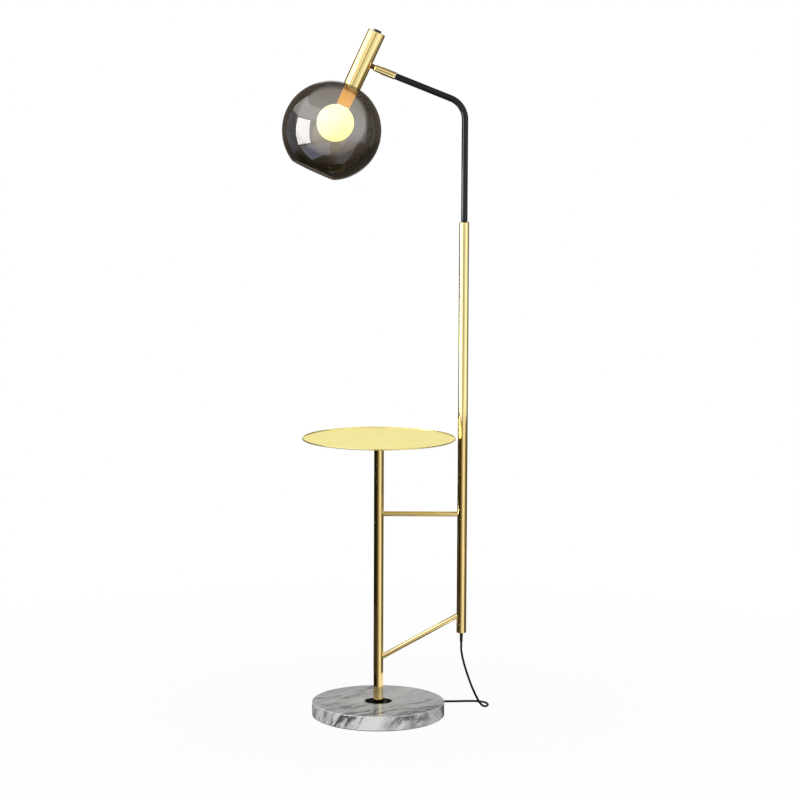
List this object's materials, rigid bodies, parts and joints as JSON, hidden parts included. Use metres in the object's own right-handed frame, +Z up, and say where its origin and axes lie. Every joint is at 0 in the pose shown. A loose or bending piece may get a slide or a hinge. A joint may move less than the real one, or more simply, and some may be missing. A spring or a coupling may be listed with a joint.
{
  "type": "floor lamp",
  "caption": "Floor lamp on a marble disc with a round side tray on a short post, a tall pole, a bent black arm and a swivelling, tilting tube head with an open smoke glass globe.",
  "frame": {"origin": "centre of the underside of the base, on the axis of the table post", "axes": "+Z up, +X from the table post towards the tall pole, -Y towards the viewer in front"},
  "size_m": [0.4708, 0.4049, 1.5465],
  "materials": {
    "marble": "polished white-grey marble with dark grey veins",
    "pad": "soft matt pad",
    "cup_black": "satin black",
    "zinc_steel": "zinc plated",
    "post_gold": "polished gold plate",
    "tray_gold": "satin gold plate",
    "head_gold": "polished gold plate",
    "screw_black": "black oxide",
    "arm_black": "satin black paint",
    "neck_brown": "dark bronze",
    "nylon_white": "natural nylon",
    "button_black": "moulded black",
    "switch_grey": "moulded dark grey",
    "wire_cover": "white wire cover",
    "gasket_black": "soft black",
    "globe_smoke": "smoke grey glass",
    "holder_ceramic": "white porcelain",
    "contact_brass": "bare brass",
    "bulb_opal": "opal glass",
    "bulb_metal": "bare aluminium",
    "bulb_black": "black insulator",
    "cord_black": "black cord cover",
    "tie_grey": "matt strap",
    "plug_black": "moulded black",
    "pin_nickel": "nickel plate"
  },
  "bodies": {
    "stand": {"marble_base": "marble", "base_pad": "pad", "recess_cup": "cup_black", "clamp_plate": "zinc_steel", "stud_washer": "zinc_steel", "stud_nut": "zinc_steel", "post_stud": "zinc_steel", "post_foot_plug": "zinc_steel", "table_post": "post_gold", "post_top_plug": "zinc_steel", "tray_flange": "post_gold", "tray_plate": "tray_gold", "cross_rung": "post_gold", "diagonal_rung": "post_gold", "main_pole": "post_gold", "pole_bottom_cap": "post_gold", "strain_relief": "cord_black", "pole_top_collar": "post_gold", "arm_lock_screw": "screw_black", "arm_tube": "arm_black", "arm_spindle": "zinc_steel", "inner_lead": "wire_cover", "cord_drop": "cord_black", "cord_coil": "cord_black", "cord_tail": "cord_black", "coil_tie": "tie_grey", "plug_body": "plug_black", "plug_pins": "pin_nickel"},
    "swivel": {"end_ring": "head_gold", "swivel_barrel": "head_gold", "swivel_washers": "zinc_steel", "knuckle_screw": "head_gold", "knuckle_washers": "nylon_white"},
    "head": {"knuckle_tongue": "neck_brown", "tongue_nut": "zinc_steel", "head_tube": "head_gold", "head_cap": "head_gold", "switch_body": "switch_grey", "head_leads": "wire_cover", "tube_end_plug": "zinc_steel", "holder_sleeve": "head_gold", "glass_ring": "head_gold", "glass_gasket": "gasket_black", "glass_globe": "globe_smoke", "lampholder_body": "holder_ceramic", "screw_shell": "contact_brass", "centre_contact": "contact_brass", "bulb_glass": "bulb_opal", "bulb_cap": "bulb_metal", "bulb_tip": "bulb_black"},
    "button": {"switch_button": "button_black"}
  },
  "joints": [
    {"name": "head_swivel", "type": "hinge", "parent": "stand", "child": "swivel", "pos_m": [-0.00417, 0, 1.4575], "axis": [-0.9304, 0, 0.3665], "range_deg": [-165, 165]},
    {"name": "head_tilt", "type": "hinge", "parent": "swivel", "child": "head", "pos_m": [-0.00417, 0, 1.4575], "axis": [0, 1, 0], "range_deg": [-45, 45]},
    {"name": "button_push", "type": "slide", "parent": "head", "child": "button", "axis": [-0.4187, 0, -0.9081], "range_m": [0, 0.0025], "stiffness_N_per_m": 400, "springref_m": -0.004}
  ]
}
